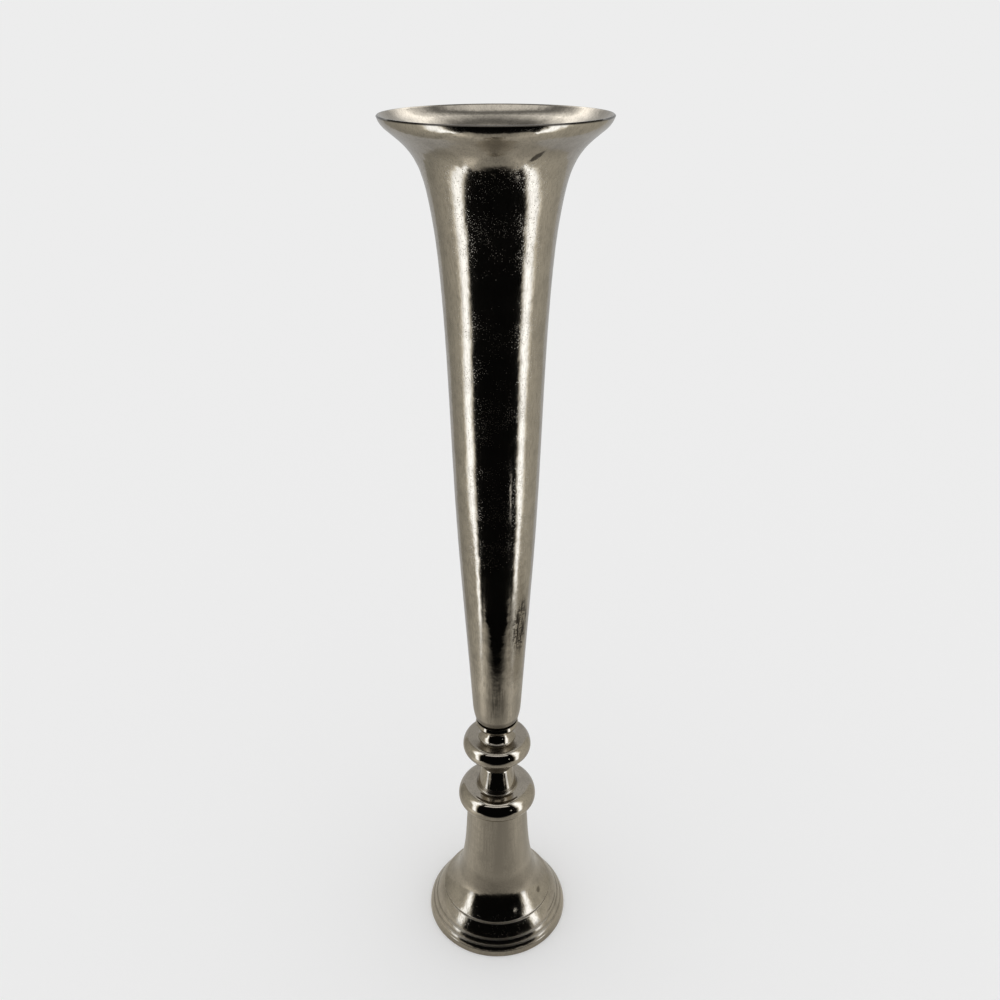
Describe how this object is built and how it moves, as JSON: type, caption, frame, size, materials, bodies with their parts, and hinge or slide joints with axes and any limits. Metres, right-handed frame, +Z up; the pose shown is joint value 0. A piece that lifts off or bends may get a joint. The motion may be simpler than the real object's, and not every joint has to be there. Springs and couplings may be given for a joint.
{
  "type": "trumpet vase",
  "caption": "Tall slender trumpet vase in polished nickel plate: flared hollow trumpet on a beaded stem and a ringed bell foot, drawn together by a hidden bolt.",
  "frame": {"origin": "on the table, under the middle of the foot", "axes": "+Z up along the vase's axis, towards the mouth; X and Y level"},
  "size_m": [0.1514, 0.1514, 0.7111],
  "materials": {
    "nickel_plate": "cast aluminium, nickel plated, hand polished with a fine grain",
    "zinc_steel": "steel, bright zinc plated",
    "felt": "pressed wool felt"
  },
  "bodies": {
    "stand": {"bell_foot": "nickel_plate", "lower_knop": "nickel_plate", "upper_knop": "nickel_plate", "flat_washer": "zinc_steel", "lock_washer": "zinc_steel", "felt_pad_1": "felt", "felt_pad_2": "felt", "felt_pad_3": "felt", "felt_pad_4": "felt"},
    "bolt": {"tie_bolt": "zinc_steel"},
    "trumpet": {"trumpet": "nickel_plate"}
  },
  "joints": [
    {"name": "bolt_turn", "type": "hinge", "parent": "stand", "child": "bolt", "pos_m": [0, 0, 0.1177], "axis": [0, 0, -1], "range_deg": [0, 5760]},
    {"name": "trumpet_lift", "type": "slide", "parent": "stand", "child": "trumpet", "axis": [0, 0, 1], "range_m": [0, 0.02]}
  ],
  "couplings": [
    {"joint": "bolt_turn", "follows": "trumpet_lift", "rad_per_m": 5026.5}
  ]
}
